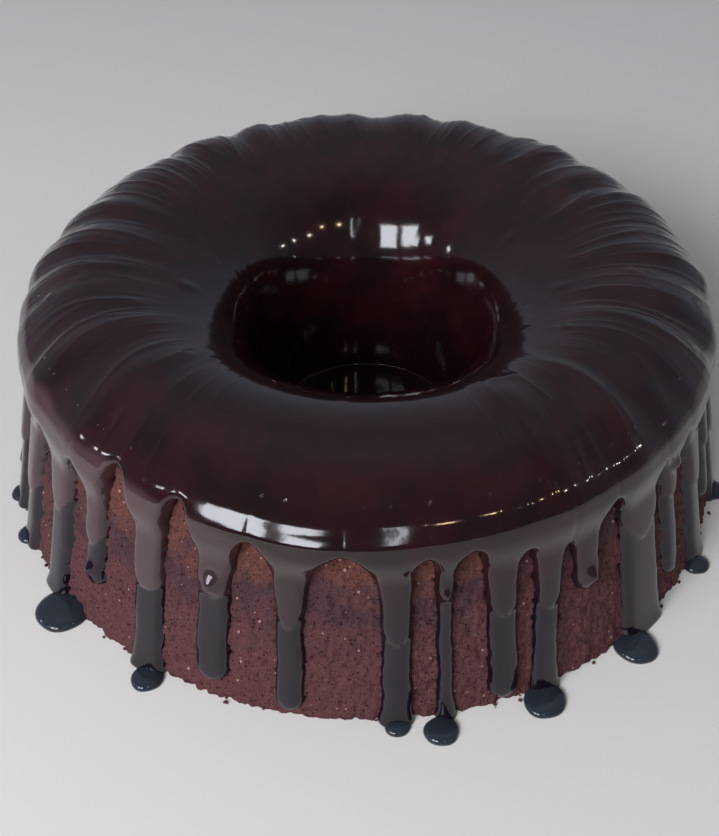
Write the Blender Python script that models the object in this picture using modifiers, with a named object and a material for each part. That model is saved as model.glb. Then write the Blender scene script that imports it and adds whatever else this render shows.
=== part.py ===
"""Chocolate ring cake under a poured glaze that runs down its side in drips.

Two pieces: the baked ring, and the glaze, which coats its top and its well,
hangs in drips on the side and spreads into small pools at their feet.
Metres, +Z up, origin at the centre of the foot. Angles are measured about +Z
from the front (-Y), positive towards +X.
"""
import math
import random
from collections import namedtuple

import bmesh
import bpy
from mathutils import Vector

MM = 0.001

# Baked ring
FOOT_RADIUS = 125.5 * MM          # outer radius where the cake stands
CROWN_HEIGHT = 80.3 * MM          # top of the crumb
CROWN_RADIUS = 88.0 * MM          # ring line where the top is highest
WALL_LEAN = math.radians(13.2)    # draft of the ring tin's side
DOME_RADIUS = 26.6 * MM           # curve of the top outside the crown
SHOULDER_RADIUS = 8.0 * MM        # tighter rounding between that curve and the side
FUNNEL_REACH = 47.8 * MM          # crown line in to the wall of the well
FUNNEL_DROP = 55.8 * MM           # depth over which the top curves into the well
TOOL_DEPTH = 2.0 * MM             # how far the crumb's cutter reaches under the floor
RUN_DEPTH = 0.5 * TOOL_DEPTH      # and how far glaze is made to reach before it is trimmed

# Glaze
GLAZE = 2.2 * MM                  # coat on the top and in the well
LIP = 3.5 * MM                    # the coat where it turns down over the shoulder
LIP_RADIUS = 13.0 * MM            # rounding of the coat there
GAP = 0.3 * MM                    # clearance between the crumb and the glaze
SKIRT_EDGE = 58.0 * MM            # usual height where the even coat ends on the side
SKIRT_INSET = 14.0 * MM           # how far its unhollowed edge reaches into the crumb
CORE_HEIGHT = 15.0 * MM           # its underside dips to here inside the crumb,
CORE_REACH = 20.0 * MM            # this far outside the well's wall,
CORE_FOOT = 8.0 * MM              # and meets the floor this far outside it
WELL_POOL = 4.0 * MM              # glaze standing at the bottom of the well
DRIP_CREST = 3.4 * MM             # how far a drip stands off the crumb
DRIP_ROOT = 2.6 * MM              # a drip starts this far above its arches, in the coat
DRIP_BURIED = 2.5 * MM            # how far a drip's back reaches into the crumb
DRIP_LIP = 0.6 * MM               # how far its side edges do
MID_SIDE = 30.0 * MM              # distances round the side are taken at this height

# Radial folds of the set glaze and of the crumb under it
FOLD_HEIGHT = 0.6 * MM
FOLD_INNER = 60.0 * MM            # folds fade out between these two radii
FOLD_OUTER = 100.0 * MM
FOLD_FADE_LOW = 48.0 * MM         # and down the side to this height
FOLD_WAVES = ((23, 1.0, 0.4), (31, 0.7, 2.1), (14, 0.6, 4.0), (47, 0.35, 1.2))
CALM_FRONT = math.radians(-10.0)  # the front of the top is smooth
CALM_WIDTH = math.radians(34.0)

# Drip sections: below an arch's top, in millimetres, and no closer than this
ARCH_LEVELS = (0.0, 2.2, 7.5)
LEVEL_SPACING = 2.0 * MM
ARCH_OVERLAP = 0.2 * MM           # neighbouring drips just run into each other

# Turning resolution
COLUMNS = 78
POOL_COLUMNS = 10
DOME_STEPS = 3
SHOULDER_STEPS = 2
FUNNEL_STEPS = 4

# Drips seen on the front half: angle in degrees, then width, height of the tip
# and height of the bare arch on the right-hand side, all in millimetres
Drip = namedtuple("Drip", "angle width tip arch")
FRONT_DRIPS = (
    Drip(-75.0, 9.0, 0.0, 58.0),
    Drip(-65.5, 10.0, 0.0, 57.0),
    Drip(-54.0, 11.0, 0.0, 57.0),
    Drip(-44.5, 8.0, 17.0, 65.0),
    Drip(-33.3, 10.5, 0.0, 64.0),
    Drip(-22.3, 10.5, 6.0, 59.5),
    Drip(-11.0, 8.5, 2.0, 59.5),
    Drip(4.0, 9.0, 0.0, 59.0),
    Drip(10.8, 5.0, 0.0, 59.5),
    Drip(19.2, 9.5, 2.0, 54.0),
    Drip(26.6, 8.5, 0.0, 50.0),
    Drip(33.2, 8.5, 30.0, 58.0),
    Drip(44.6, 16.5, 0.0, 57.0),
    Drip(52.8, 7.5, 9.0, 58.0),
    Drip(62.0, 10.0, 0.0, 57.0),
    Drip(69.5, 6.5, 12.0, 60.0),
    Drip(76.5, 9.0, 0.0, 58.0),
    Drip(85.5, 10.0, 15.0, 58.0),
)
# The back half has more drips of the same kind, drawn at random
BACK_DRIPS = 17
BACK_SEED = 17
BACK_WIDTHS = (6.0, 11.0)
BACK_TIPS = (6.0, 36.0)
BACK_ARCHES = (53.0, 63.0)
BACK_WANDER = 0.16                # share of the even pitch that a drip may stray
TO_THE_FLOOR = 0.55               # share of the back drips that reach the floor

# Pools at the feet: angle in degrees, then distance of the middle from the
# axis, radius and height in millimetres
Pool = namedtuple("Pool", "angle middle radius height")
FRONT_POOLS = (
    Pool(-76.0, 126.0, 4.6, 2.6),
    Pool(-66.5, 126.0, 4.8, 2.6),
    Pool(-49.5, 129.8, 8.7, 3.6),
    Pool(-31.5, 130.0, 5.0, 2.8),
    Pool(4.0, 127.8, 4.2, 2.4),
    Pool(9.6, 131.6, 5.2, 2.8),
    Pool(24.4, 130.4, 6.6, 3.0),
    Pool(40.8, 130.0, 7.0, 3.2),
    Pool(60.0, 128.0, 4.6, 2.6),
    Pool(76.8, 127.6, 4.6, 2.6),
)
# and under the back drips that reach the floor between these angles
BACK_POOLS_FROM = 105.0
BACK_POOLS_TO = 255.0
BACK_POOL_RADII = (4.2, 6.8)


def wall_radius(height, grow=0.0):
    """Radius of the crumb's side at a height, moved out by grow."""
    return FOOT_RADIUS - height * math.tan(WALL_LEAN) + grow / math.cos(WALL_LEAN)


def top_section(grow, lip, rounding, lowest):
    """Section over the ring: from the well's wall over the crown down the side.

    grow moves the curve off the crumb and lip does so where the shoulder's
    rounding ends on the side; there the curve comes back to grow at lowest.
    The first point lies where the well's wall turns vertical.
    """
    points = []
    funnel_height = CROWN_HEIGHT - FUNNEL_DROP
    for step in range(FUNNEL_STEPS):
        turn = 0.5 * math.pi * (1.0 - step / FUNNEL_STEPS)
        points.append((CROWN_RADIUS - (FUNNEL_REACH + grow) * math.sin(turn),
                       funnel_height + (FUNNEL_DROP + grow) * math.cos(turn)))
    dome = DOME_RADIUS + grow
    dome_height = CROWN_HEIGHT - DOME_RADIUS
    to_side = (FOOT_RADIUS - CROWN_RADIUS) * math.cos(WALL_LEAN)
    to_side -= dome_height * math.sin(WALL_LEAN)
    meeting = math.asin((to_side + lip - rounding) / (dome - rounding)) - WALL_LEAN
    for step in range(DOME_STEPS):
        turn = meeting * step / DOME_STEPS
        points.append((CROWN_RADIUS + dome * math.sin(turn),
                       dome_height + dome * math.cos(turn)))
    centre_radius = CROWN_RADIUS + (dome - rounding) * math.sin(meeting)
    centre_height = dome_height + (dome - rounding) * math.cos(meeting)
    for step in range(SHOULDER_STEPS + 1):
        turn = meeting + (math.pi / 2 - WALL_LEAN - meeting) * step / SHOULDER_STEPS
        points.append((centre_radius + rounding * math.sin(turn),
                       centre_height + rounding * math.cos(turn)))
    points.append((wall_radius(lowest, grow), lowest))
    return points


def smooth_step(low, high, value):
    """0 below low, 1 above high, and an even rise between them."""
    share = min(max((value - low) / (high - low), 0.0), 1.0)
    return share * share * (3.0 - 2.0 * share)


def fold_lift(angle, radius, height):
    """How far the surface stands off its turned form at a place on the ring."""
    wave = sum(size * math.cos(count * angle + shift + 0.5 * math.sin(3 * angle))
               for count, size, shift in FOLD_WAVES)
    off_front = math.remainder(angle - CALM_FRONT, 2 * math.pi) / CALM_WIDTH
    calm = 1.0 - math.exp(-off_front * off_front)
    fade = smooth_step(FOLD_INNER, FOLD_OUTER, radius)
    fade *= smooth_step(FOLD_FADE_LOW, CROWN_HEIGHT, height)
    return FOLD_HEIGHT * wave * calm * fade


def fold_surface(mesh):
    """Press the radial folds into a turned mesh.

    Its faces are cut into triangles the same way on every mesh first, so that
    folded surfaces that lie a small gap apart stay parallel.
    """
    shape = bmesh.new()
    shape.from_mesh(mesh)
    bmesh.ops.triangulate(shape, faces=shape.faces, quad_method="FIXED")
    shape.to_mesh(mesh)
    shape.free()
    for vertex in mesh.vertices:
        x, y, z = vertex.co
        radius = math.hypot(x, y)
        if radius < FOLD_INNER or z < FOLD_FADE_LOW:
            continue
        out = Vector((max(radius - CROWN_RADIUS, 0.0), z - CROWN_HEIGHT + DOME_RADIUS))
        out.normalize()
        lift = fold_lift(math.atan2(x, -y), radius, z)
        moved = radius + out[0] * lift
        vertex.co = (x * moved / radius, y * moved / radius, z + out[1] * lift)


def new_material(name, colour, roughness):
    """A plain finish for one of the pieces."""
    material = bpy.data.materials.new(name)
    material.use_nodes = True
    shader = material.node_tree.nodes["Principled BSDF"]
    shader.inputs["Base Color"].default_value = (*colour, 1.0)
    shader.inputs["Roughness"].default_value = roughness
    shader.inputs["Metallic"].default_value = 0.0
    return material


def new_collection(name):
    """A collection in the scene."""
    collection = bpy.data.collections.new(name)
    bpy.context.scene.collection.children.link(collection)
    return collection


def turned(name, profile, collection, columns=COLUMNS, closed=True):
    """An object turned about Z from (radius, height) points, with Screw applied."""
    mesh = bpy.data.meshes.new(name + "_profile")
    edges = [(i, i + 1) for i in range(len(profile) - 1)]
    if closed:
        edges.append((len(profile) - 1, 0))
    mesh.from_pydata([(radius, 0.0, height) for radius, height in profile], edges, [])
    source = bpy.data.objects.new(name + "_profile", mesh)
    collection.objects.link(source)
    screw = source.modifiers.new("Turn", "SCREW")
    screw.axis = "Z"
    screw.steps = columns
    screw.render_steps = columns
    screw.use_merge_vertices = True
    screw.merge_threshold = 0.00001
    screw.use_smooth_shade = True
    graph = bpy.context.evaluated_depsgraph_get()
    solid = bpy.data.meshes.new_from_object(source.evaluated_get(graph))
    solid.name = name
    bpy.data.objects.remove(source)
    obj = bpy.data.objects.new(name, solid)
    collection.objects.link(obj)
    return obj


def as_tool(obj):
    """Mark an object as one that only shapes others."""
    obj.hide_render = True
    obj.display_type = "WIRE"
    return obj


def ring_profile(grow, floor):
    """Closed section of the baked ring, moved off the crumb by grow."""
    top = top_section(grow, grow, SHOULDER_RADIUS + grow, floor)
    return top + [(top[0][0], floor)]


def make_cake(collection):
    """The baked ring, with the folds of its top."""
    cake = turned("cake", ring_profile(0.0, 0.0), collection)
    fold_surface(cake.data)
    cake.data.materials.append(new_material("crumb", (0.105, 0.036, 0.026), 0.85))
    return cake


def make_crumb_cutter(collection):
    """The baked ring with its clearance, which hollows the glaze."""
    cutter = turned("crumb_clearance", ring_profile(GAP, -TOOL_DEPTH), collection)
    fold_surface(cutter.data)
    return as_tool(cutter)


def make_coat(drips, collection):
    """Glaze over the top, down the well and across its bottom, still unhollowed."""
    top = top_section(GLAZE, LIP, LIP_RADIUS, SKIRT_EDGE)
    well = top[0][0]
    inner = [(0.0, WELL_POOL),
             (well - WELL_POOL, WELL_POOL),
             (well, 2.0 * WELL_POOL)]
    closing = [(top[-1][0] - SKIRT_INSET, SKIRT_EDGE),
               (well + CORE_REACH, CORE_HEIGHT),
               (well + CORE_FOOT, -RUN_DEPTH),
               (0.0, -RUN_DEPTH)]
    coat = turned("glaze", inner + top + closing, collection, closed=False)
    for vertex in coat.data.vertices:
        x, y, z = vertex.co
        if abs(z - SKIRT_EDGE) < GAP and math.hypot(x, y) > CROWN_RADIUS:
            lower = skirt_edge(math.degrees(math.atan2(x, -y)), drips) - SKIRT_EDGE
            wider = 1.0 - lower * math.tan(WALL_LEAN) / math.hypot(x, y)
            vertex.co = (x * wider, y * wider, z + lower)
    fold_surface(coat.data)
    coat.data.materials.append(new_material("chocolate_glaze", (0.013, 0.008, 0.009), 0.12))
    return coat


def all_runs():
    """Every drip and every pool: the front ones as listed, the back ones seeded."""
    chance = random.Random(BACK_SEED)
    first = FRONT_DRIPS[-1].angle
    pitch = (FRONT_DRIPS[0].angle + 360.0 - first) / (BACK_DRIPS + 1)
    drips = list(FRONT_DRIPS)
    pools = list(FRONT_POOLS)
    for index in range(BACK_DRIPS):
        angle = first + pitch * (index + 1 + chance.uniform(-BACK_WANDER, BACK_WANDER))
        width = chance.uniform(*BACK_WIDTHS)
        tip = chance.uniform(*BACK_TIPS)
        arch = chance.uniform(*BACK_ARCHES)
        radius = chance.uniform(*BACK_POOL_RADII)
        if chance.random() < TO_THE_FLOOR:
            tip = 0.0
            if BACK_POOLS_FROM < angle < BACK_POOLS_TO:
                middle = FOOT_RADIUS / MM + 0.6 * radius
                pools.append(Pool(angle, middle, radius, 0.5 * radius))
        drips.append(Drip(angle, width, tip, arch))
    return drips, pools


def skirt_edge(angle, drips):
    """Height where the even coat ends at an angle: level with the arches' tops."""
    arches = []
    for index, drip in enumerate(drips):
        following = drips[(index + 1) % len(drips)]
        gap = math.remainder(following.angle - drip.angle, 360.0)
        middle = drip.angle + 0.5 * gap
        arches.append((math.remainder(middle - angle, 360.0), drip.arch * MM))
    before, height_before = max(arch for arch in arches if arch[0] <= 0.0)
    after, height_after = min(arch for arch in arches if arch[0] > 0.0)
    share = smooth_step(before, after, 0.0)
    return height_before + (height_after - height_before) * share


def arch_edge(height, drip_edge, middle, top):
    """Where a drip's side lies, as a distance round the cake.

    The bare arch beside the drip has upright sides at drip_edge and closes
    in a half ellipse about middle, whose top is at the height top.
    """
    rise = 1.15 * abs(middle - drip_edge)
    share = (height - (top - rise)) / rise
    if share <= 0.0:
        return drip_edge
    if share >= 1.0:
        return middle
    return middle + (drip_edge - middle) * math.sqrt(1.0 - share * share)


def drip_rings(drip, left, right):
    """(height, left edge, right edge, crest) down a drip, edges round the cake.

    left and right are the neighbouring drips, so that the sides widen into
    the arches on either hand.
    """
    scale = math.radians(1.0) * wall_radius(MID_SIDE)
    half = 0.5 * drip.width * MM
    tip = drip.tip * MM if drip.tip > 0.0 else -RUN_DEPTH
    gap_left = 0.5 * ((left.angle - drip.angle) * scale + 0.5 * left.width * MM - half)
    gap_right = 0.5 * ((right.angle - drip.angle) * scale - 0.5 * right.width * MM + half)
    root = max(left.arch, drip.arch) * MM + DRIP_ROOT
    wanted = {root}
    for arch in (left.arch, drip.arch):
        wanted |= {(arch - drop) * MM for drop in ARCH_LEVELS}
    levels = []
    for level in sorted(wanted, reverse=True):
        spaced = not levels or levels[-1] - level > LEVEL_SPACING
        if spaced and level > tip + half:
            levels.append(level)
    rings = []
    for level in levels:
        thinner = smooth_step(min(levels), root, level)
        rings.append((level,
                      arch_edge(level, -half, gap_left, left.arch * MM) - ARCH_OVERLAP,
                      arch_edge(level, half, gap_right, drip.arch * MM) + ARCH_OVERLAP,
                      DRIP_CREST + (GLAZE - GAP - DRIP_CREST) * thinner))
    if drip.tip > 0.0:
        rings.append((tip + 0.8 * half, -1.05 * half, 1.05 * half, 1.15 * DRIP_CREST))
        rings.append((tip, -0.4 * half, 0.4 * half, 0.5 * DRIP_CREST))
    else:
        rings.append((tip, -half, half, DRIP_CREST))
    return rings


def on_side(angle, along, height, off):
    """Point on the cake's side: angle, distance round, height, distance off."""
    radius = wall_radius(height, off)
    turn = math.radians(angle) + along / wall_radius(MID_SIDE)
    return Vector((radius * math.sin(turn), -radius * math.cos(turn), height))


def make_drip(name, drip, left, right, collection):
    """One drip as a loft of rounded sections, its back buried in the crumb."""
    shape = bmesh.new()
    rows = []
    for height, low, high, crest in drip_rings(drip, left, right):
        edge = min(0.3 * (high - low), DRIP_CREST)
        middle = 0.5 * (low + high)
        section = ((low, -DRIP_LIP), (low + edge, crest), (high - edge, crest),
                   (high, -DRIP_LIP), (middle, -DRIP_BURIED))
        rows.append([shape.verts.new(on_side(drip.angle, along, height, off))
                     for along, off in section])
    for upper, lower in zip(rows, rows[1:]):
        for i in range(len(upper)):
            j = (i + 1) % len(upper)
            shape.faces.new((upper[i], lower[i], lower[j], upper[j]))
    shape.faces.new(rows[0])
    shape.faces.new(reversed(rows[-1]))
    bmesh.ops.recalc_face_normals(shape, faces=shape.faces)
    mesh = bpy.data.meshes.new(name)
    shape.to_mesh(mesh)
    shape.free()
    mesh.shade_smooth()
    obj = bpy.data.objects.new(name, mesh)
    collection.objects.link(obj)
    return as_tool(obj)


def make_pool(name, pool, collection):
    """A flat drop of glaze on the surface that the cake stands on."""
    radius = pool.radius * MM
    height = pool.height * MM
    profile = [(0.0, height), (0.72 * radius, 0.8 * height), (radius, 0.2 * height),
               (radius, -RUN_DEPTH), (0.0, -RUN_DEPTH)]
    obj = turned(name, profile, collection, columns=POOL_COLUMNS, closed=False)
    turn = math.radians(pool.angle)
    distance = pool.middle * MM
    obj.location = (distance * math.sin(turn), -distance * math.cos(turn), 0.0)
    obj.rotation_euler = (0.0, 0.0, turn)
    return as_tool(obj)


def make_floor_cutter(collection):
    """A slab under the cake that trims every foot flat."""
    shape = bmesh.new()
    bmesh.ops.create_cube(shape, size=1.0)
    size = 3.0 * FOOT_RADIUS
    bmesh.ops.scale(shape, vec=(size, size, 0.02), verts=shape.verts)
    bmesh.ops.translate(shape, vec=(0.0, 0.0, -0.01), verts=shape.verts)
    mesh = bpy.data.meshes.new("floor_slab")
    shape.to_mesh(mesh)
    shape.free()
    obj = bpy.data.objects.new("floor_slab", mesh)
    collection.objects.link(obj)
    return as_tool(obj)


def add_boolean(obj, name, operation, tools):
    """Join obj with all of a collection's tools, or cut it with them."""
    modifier = obj.modifiers.new(name, "BOOLEAN")
    modifier.operation = operation
    modifier.solver = "EXACT"
    modifier.operand_type = "COLLECTION"
    modifier.collection = tools


def make_glaze(collection, cutters):
    """The whole glaze: coat, drips and pools in one, hollowed for the crumb."""
    drips, pools = all_runs()
    coat = make_coat(drips, collection)
    runs = new_collection("glaze_runs")
    for index, drip in enumerate(drips):
        left = drips[index - 1]
        right = drips[(index + 1) % len(drips)]
        if index == 0:
            left = left._replace(angle=left.angle - 360.0)
        if index == len(drips) - 1:
            right = right._replace(angle=right.angle + 360.0)
        make_drip("drip_%02d" % (index + 1), drip, left, right, runs)
    for index, pool in enumerate(pools):
        make_pool("pool_%02d" % (index + 1), pool, runs)
    add_boolean(coat, "Join runs", "UNION", runs)
    make_crumb_cutter(cutters)
    make_floor_cutter(cutters)
    add_boolean(coat, "Hollow and trim", "DIFFERENCE", cutters)
    return coat


def main():
    """Build the cake from an empty scene."""
    for obj in list(bpy.data.objects):
        bpy.data.objects.remove(obj, do_unlink=True)
    parts = new_collection("ring_cake")
    cutters = new_collection("cutters")
    make_cake(parts)
    make_glaze(parts, cutters)


main()
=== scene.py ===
"""Chocolate ring cake under poured glaze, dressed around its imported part.

Metres, +Z up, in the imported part's frame. Angles are measured about +Z from
the front (-Y), positive towards +X.
"""
import logging
import math
import random
from dataclasses import dataclass, field
from enum import Enum
from functools import cached_property
from typing import Any, Callable

import bmesh
import bpy
import numpy as np
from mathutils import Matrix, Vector


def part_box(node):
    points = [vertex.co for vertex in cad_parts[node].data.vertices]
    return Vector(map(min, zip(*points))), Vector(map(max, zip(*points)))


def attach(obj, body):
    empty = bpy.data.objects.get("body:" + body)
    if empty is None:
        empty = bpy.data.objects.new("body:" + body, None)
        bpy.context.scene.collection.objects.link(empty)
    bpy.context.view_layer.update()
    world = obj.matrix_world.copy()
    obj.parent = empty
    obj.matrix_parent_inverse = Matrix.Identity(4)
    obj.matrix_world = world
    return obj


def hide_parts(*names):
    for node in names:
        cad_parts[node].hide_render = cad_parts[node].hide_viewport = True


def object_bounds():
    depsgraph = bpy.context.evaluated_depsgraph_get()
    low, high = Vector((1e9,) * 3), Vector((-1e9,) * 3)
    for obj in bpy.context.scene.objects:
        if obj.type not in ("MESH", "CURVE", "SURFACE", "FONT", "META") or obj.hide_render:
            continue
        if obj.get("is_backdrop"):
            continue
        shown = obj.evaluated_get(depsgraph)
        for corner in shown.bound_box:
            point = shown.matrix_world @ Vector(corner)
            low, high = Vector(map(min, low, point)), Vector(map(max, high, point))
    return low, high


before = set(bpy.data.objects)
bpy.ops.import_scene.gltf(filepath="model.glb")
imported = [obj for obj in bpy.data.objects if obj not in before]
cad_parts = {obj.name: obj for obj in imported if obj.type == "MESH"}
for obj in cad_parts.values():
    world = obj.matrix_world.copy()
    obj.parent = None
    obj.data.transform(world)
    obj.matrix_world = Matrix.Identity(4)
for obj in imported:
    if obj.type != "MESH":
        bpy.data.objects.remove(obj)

LOG = logging.getLogger("ring_cake")
MM = 0.001
CAD_LOW, CAD_HIGH = (tuple(corner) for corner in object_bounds())
CAKE_LOW, CAKE_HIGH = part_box("cake")


class Slot(Enum):
    """The record's material slots."""

    CRUMB = "crumb"
    GLAZE = "glaze"


def linear(colour: str) -> tuple[float, float, float, float]:
    """Linear RGBA of an sRGB hex colour.

    Args:
        colour: six hex digits after a hash sign.

    Returns:
        Red, green, blue and an alpha of 1.
    """
    parts = [int(colour[i:i + 2], 16) / 255.0 for i in (1, 3, 5)]
    light = [p / 12.92 if p <= 0.04045 else ((p + 0.055) / 1.055) ** 2.4 for p in parts]
    return (light[0], light[1], light[2], 1.0)


def smooth_step(low: float, high: float, value: Any) -> Any:
    """0 below low, 1 above high, and an even rise between them."""
    share = np.clip((value - low) / (high - low), 0.0, 1.0)
    return share * share * (3.0 - 2.0 * share)


def add_node(tree: bpy.types.NodeTree, kind: str, inputs: dict[Any, Any] | None = None,
             **settings: Any) -> bpy.types.Node:
    """Add a node to a tree.

    Args:
        tree: the tree to add to.
        kind: the node's type name.
        inputs: value or output socket for each input, by name or number.
        settings: the node's own properties.

    Returns:
        The new node.
    """
    node = tree.nodes.new(kind)
    for name, value in settings.items():
        setattr(node, name, value)
    for name, value in (inputs or {}).items():
        if isinstance(value, bpy.types.NodeSocket):
            tree.links.new(value, node.inputs[name])
        else:
            node.inputs[name].default_value = value
    return node


def ramp_stops(node: bpy.types.Node, stops: list[tuple[float, tuple]]) -> bpy.types.Node:
    """Give a colour ramp its stops.

    Args:
        node: a ColorRamp node.
        stops: position and linear RGBA of each stop, in rising order.

    Returns:
        The same node.
    """
    elements = node.color_ramp.elements
    while len(elements) < len(stops):
        elements.new(0.5)
    for element, (position, colour) in zip(elements, stops):
        element.position = position
        element.color = colour
    return node


# ------------------------------------------------------------------ materials

@dataclass(frozen=True)
class ChocolateGlaze:
    """Poured chocolate glaze, set but still wet-looking: near black, with a sharp sheen.

    The eye sees mostly mirrored surroundings. Where the glaze is thin the
    red-brown of the crumb warms it. A lighter grey is painted on its thick lobes
    on the side as the reflection of the bright floor, a cool dark low on the side
    as the reflection of shaded ground, and slow waves in its skin bend reflections.
    """

    name: str = "chocolate_glaze_poured"
    deep: str = "#180A0C"
    warm: str = "#290F12"
    # lobe: grey painted on the thick lobes as the reflection of the bright floor
    lobe: str = "#412F33"
    low: str = "#120A16"          # painted reflection of the shaded ground, cool and dark, on the side's thin runs
    ground_reflection_mm: tuple[float, float] = (34.0, 46.0)
    side_mm: float = 95.0         # from the axis to where the side begins
    roughness: float = 0.09
    ior: float = 1.52
    cloud_mm: float = 16.0        # patches of thinner glaze
    skin_mm: float = 6.0          # slow waves left as it set
    skin_height_mm: float = 0.05
    grain_mm: float = 1.3         # crumb showing through as a faint tremble
    grain_height_mm: float = 0.006

    def build(self) -> bpy.types.Material:
        """The node material."""
        material = bpy.data.materials.new(self.name)
        material.use_nodes = True
        tree = material.node_tree
        shader = tree.nodes["Principled BSDF"]
        place = add_node(tree, "ShaderNodeTexCoord").outputs["Object"]
        cloud = add_node(tree, "ShaderNodeTexNoise", {
            "Vector": place, "Scale": 1.0 / (self.cloud_mm * MM), "Detail": 4.0, "Roughness": 0.6})
        patch = ramp_stops(add_node(tree, "ShaderNodeValToRGB", {"Fac": cloud.outputs["Fac"]}),
                           [(0.40, linear(self.deep)), (0.75, linear(self.warm))])
        apart = add_node(tree, "ShaderNodeSeparateXYZ", {"Vector": place})
        # Low on the side and outside the well, the colour turns to the painted reflection of shaded
        # ground.
        climb = add_node(tree, "ShaderNodeMapRange", {
            "Value": apart.outputs["Z"], "From Min": self.ground_reflection_mm[0] * MM,
            "From Max": self.ground_reflection_mm[1] * MM})
        level = add_node(tree, "ShaderNodeVectorMath", {0: place, 1: (1.0, 1.0, 0.0)},
                         operation="MULTIPLY")
        reach = add_node(tree, "ShaderNodeVectorMath", {0: level.outputs[0]}, operation="LENGTH")
        inside = add_node(tree, "ShaderNodeMapRange", {
            "Value": reach.outputs["Value"], "From Min": self.side_mm * MM,
            "From Max": (self.side_mm - 10.0) * MM})
        upper = add_node(tree, "ShaderNodeMath", {
            0: climb.outputs["Result"], 1: inside.outputs["Result"]}, operation="MAXIMUM")
        body = add_node(tree, "ShaderNodeMix", {
            0: upper.outputs[0], 6: linear(self.low), 7: patch.outputs["Color"]},
            data_type="RGBA")
        # The lobe attribute says where grey is painted on the thick lobes as the bright floor's
        # reflection.
        thick = add_node(tree, "ShaderNodeAttribute", attribute_name="lobe")
        colour = add_node(tree, "ShaderNodeMix", {
            0: thick.outputs["Fac"], 6: body.outputs[2], 7: linear(self.lobe)},
            data_type="RGBA")
        tree.links.new(colour.outputs[2], shader.inputs["Base Color"])
        skin = add_node(tree, "ShaderNodeTexNoise", {
            "Vector": place, "Scale": 1.0 / (self.skin_mm * MM), "Detail": 1.0})
        wavy = add_node(tree, "ShaderNodeBump", {
            "Height": skin.outputs["Fac"], "Strength": 1.0,
            "Distance": self.skin_height_mm * MM})
        grain = add_node(tree, "ShaderNodeTexNoise", {
            "Vector": place, "Scale": 1.0 / (self.grain_mm * MM), "Detail": 1.0})
        rough = add_node(tree, "ShaderNodeBump", {
            "Height": grain.outputs["Fac"], "Strength": 1.0,
            "Distance": self.grain_height_mm * MM, "Normal": wavy.outputs["Normal"]})
        tree.links.new(rough.outputs["Normal"], shader.inputs["Normal"])
        shader.inputs["Roughness"].default_value = self.roughness
        shader.inputs["IOR"].default_value = self.ior
        return material


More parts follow.
